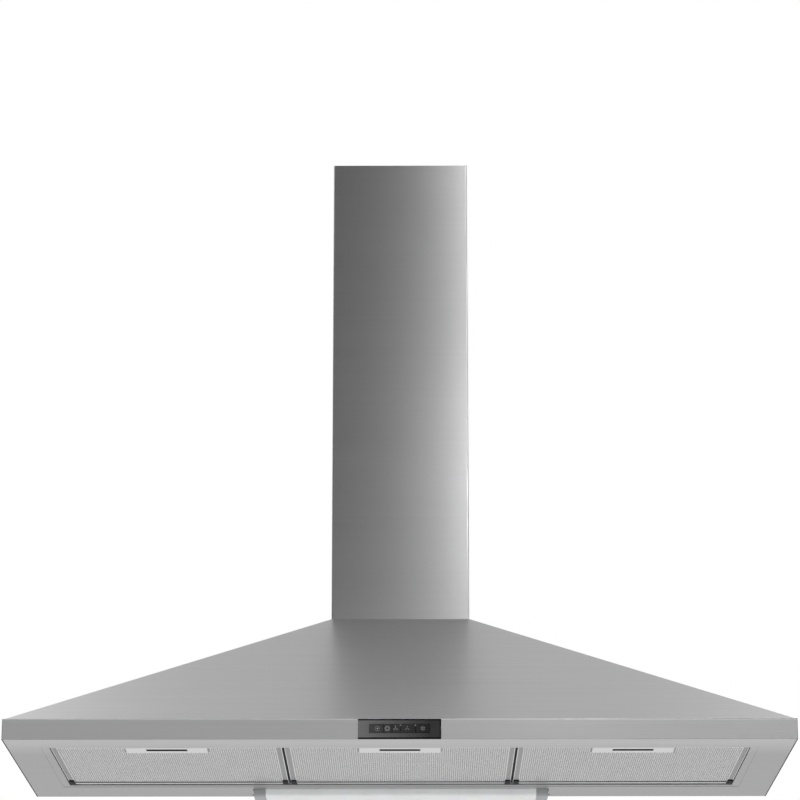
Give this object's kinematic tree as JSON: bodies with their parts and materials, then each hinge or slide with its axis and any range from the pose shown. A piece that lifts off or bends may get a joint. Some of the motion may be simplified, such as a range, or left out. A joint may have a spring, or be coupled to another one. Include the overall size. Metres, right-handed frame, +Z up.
{
  "type": "chimney range hood",
  "caption": "Wall-mounted brushed steel chimney cooker hood with sloping canopy, hinged mesh grease filters, push buttons, rear light and a blower under a telescoping cover.",
  "frame": {"origin": "on the wall plane at the middle of the hood's width, level with the canopy's underside", "axes": "+Z up, +X to the right as seen from the room, +Y into the wall; the front faces -Y"},
  "size_m": [1.2, 0.502, 1.024],
  "materials": {
    "brushed_cover": "brushed",
    "underside_steel": "satin",
    "galvanised_sheet": "dull",
    "filter_aluminium": "satin",
    "filter_mesh_metal": "bright",
    "handle_steel": "satin",
    "latch_plastic": "matt",
    "plain_steel": "smooth",
    "panel_black": "glossy",
    "housing_black": "matt",
    "board_green": "satin",
    "indicator_clear": "clear",
    "diffuser": "translucent",
    "light_end_grey": "satin",
    "lamp_white": "frosted",
    "socket_white": "satin",
    "scroll_grey": "matt",
    "guard_wire": "satin",
    "motor_metal": "cast",
    "wheel_white": "satin",
    "black_rubber": "matt",
    "lead_grey": "satin"
  },
  "bodies": {
    "hood_body": {"canopy_shell": "brushed_cover", "back_panel": "galvanised_sheet", "bottom_panel": "underside_steel", "filter_dividers": "latch_plastic", "lower_chimney": "brushed_cover", "screws": "plain_steel", "control_panel": "panel_black", "control_housing": "housing_black", "control_board": "board_green", "tactile_switches": "housing_black", "indicator_lights": "indicator_clear", "light_housing": "galvanised_sheet", "lamp_tube": "lamp_white", "lamp_holders": "socket_white", "light_ballast": "galvanised_sheet", "scroll_halves": "scroll_grey", "inlet_guards": "guard_wire", "motor": "motor_metal", "motor_bearings": "plain_steel", "motor_bracket": "galvanised_sheet", "motor_bushes": "black_rubber", "blower_plate": "galvanised_sheet", "outlet_collar": "scroll_grey", "damper_pin": "plain_steel", "terminal_box": "housing_black", "terminal_lid": "housing_black", "run_capacitor": "socket_white", "cable_gland": "black_rubber", "inner_leads": "lead_grey"},
    "chimney_upper": {"upper_chimney": "brushed_cover", "chimney_bracket": "galvanised_sheet"},
    "fan": {"impeller": "wheel_white", "motor_shaft": "plain_steel"},
    "flap_left": {"damper_flap_left": "scroll_grey"},
    "flap_right": {"damper_flap_right": "scroll_grey"},
    "light_lid": {"light_cover": "diffuser", "light_end_caps": "light_end_grey"},
    "filter_left": {"filter_frame_left": "filter_aluminium", "filter_shoes_left": "latch_plastic", "filter_mesh_left": "filter_mesh_metal", "filter_handle_left": "handle_steel", "latch_spring_left": "plain_steel"},
    "latch_left": {"filter_latch_left": "latch_plastic"},
    "filter_centre": {"filter_frame_centre": "filter_aluminium", "filter_shoes_centre": "latch_plastic", "filter_mesh_centre": "filter_mesh_metal", "filter_handle_centre": "handle_steel", "latch_spring_centre": "plain_steel"},
    "latch_centre": {"filter_latch_centre": "latch_plastic"},
    "filter_right": {"filter_frame_right": "filter_aluminium", "filter_shoes_right": "latch_plastic", "filter_mesh_right": "filter_mesh_metal", "filter_handle_right": "handle_steel", "latch_spring_right": "plain_steel"},
    "latch_right": {"filter_latch_right": "latch_plastic"},
    "button_light": {"button_light": "panel_black"},
    "button_off": {"button_off": "panel_black"},
    "button_speed_1": {"button_speed_1": "panel_black"},
    "button_speed_2": {"button_speed_2": "panel_black"},
    "button_speed_3": {"button_speed_3": "panel_black"}
  },
  "joints": [
    {"name": "chimney_slide", "type": "slide", "parent": "hood_body", "child": "chimney_upper", "axis": [0, 0, 1], "range_m": [0, 0.3]},
    {"name": "filter_left_tilt", "type": "hinge", "parent": "hood_body", "child": "filter_left", "pos_m": [-0.3576, -0.1005, 0.009], "axis": [1, 0, 0], "range_deg": [0, 80]},
    {"name": "filter_centre_tilt", "type": "hinge", "parent": "hood_body", "child": "filter_centre", "pos_m": [0, -0.1005, 0.009], "axis": [1, 0, 0], "range_deg": [0, 80]},
    {"name": "filter_right_tilt", "type": "hinge", "parent": "hood_body", "child": "filter_right", "pos_m": [0.3576, -0.1005, 0.009], "axis": [1, 0, 0], "range_deg": [0, 80]},
    {"name": "latch_left_slide", "type": "slide", "parent": "filter_left", "child": "latch_left", "axis": [0, -1, 0], "range_m": [0, 0.0045], "stiffness_N_per_m": 250, "springref_m": 0.006, "deforming": ["latch_spring_left"]},
    {"name": "latch_centre_slide", "type": "slide", "parent": "filter_centre", "child": "latch_centre", "axis": [0, -1, 0], "range_m": [0, 0.0045], "stiffness_N_per_m": 250, "springref_m": 0.006, "deforming": ["latch_spring_centre"]},
    {"name": "latch_right_slide", "type": "slide", "parent": "filter_right", "child": "latch_right", "axis": [0, -1, 0], "range_m": [0, 0.0045], "stiffness_N_per_m": 250, "springref_m": 0.006, "deforming": ["latch_spring_right"]},
    {"name": "button_light_press", "type": "slide", "parent": "hood_body", "child": "button_light", "axis": [0, 1, 0], "range_m": [0, 0.0015], "stiffness_N_per_m": 400},
    {"name": "button_off_press", "type": "slide", "parent": "hood_body", "child": "button_off", "axis": [0, 1, 0], "range_m": [0, 0.0015], "stiffness_N_per_m": 400},
    {"name": "button_speed_1_press", "type": "slide", "parent": "hood_body", "child": "button_speed_1", "axis": [0, 1, 0], "range_m": [0, 0.0015], "stiffness_N_per_m": 400},
    {"name": "button_speed_2_press", "type": "slide", "parent": "hood_body", "child": "button_speed_2", "axis": [0, 1, 0], "range_m": [0, 0.0015], "stiffness_N_per_m": 400},
    {"name": "button_speed_3_press", "type": "slide", "parent": "hood_body", "child": "button_speed_3", "axis": [0, 1, 0], "range_m": [0, 0.0015], "stiffness_N_per_m": 400},
    {"name": "light_lid_swing", "type": "hinge", "parent": "hood_body", "child": "light_lid", "pos_m": [0, -0.015, 0.0005], "axis": [1, 0, 0], "range_deg": [0, 75]},
    {"name": "fan_spin", "type": "hinge", "parent": "hood_body", "child": "fan", "pos_m": [0, -0.135, 0.132], "axis": [1, 0, 0], "continuous": true},
    {"name": "flap_left_turn", "type": "hinge", "parent": "hood_body", "child": "flap_left", "pos_m": [0, -0.0968, 0.264], "axis": [0, 1, 0], "range_deg": [0, 75]},
    {"name": "flap_right_turn", "type": "hinge", "parent": "hood_body", "child": "flap_right", "pos_m": [0, -0.0968, 0.264], "axis": [0, -1, 0], "range_deg": [0, 75]}
  ]
}
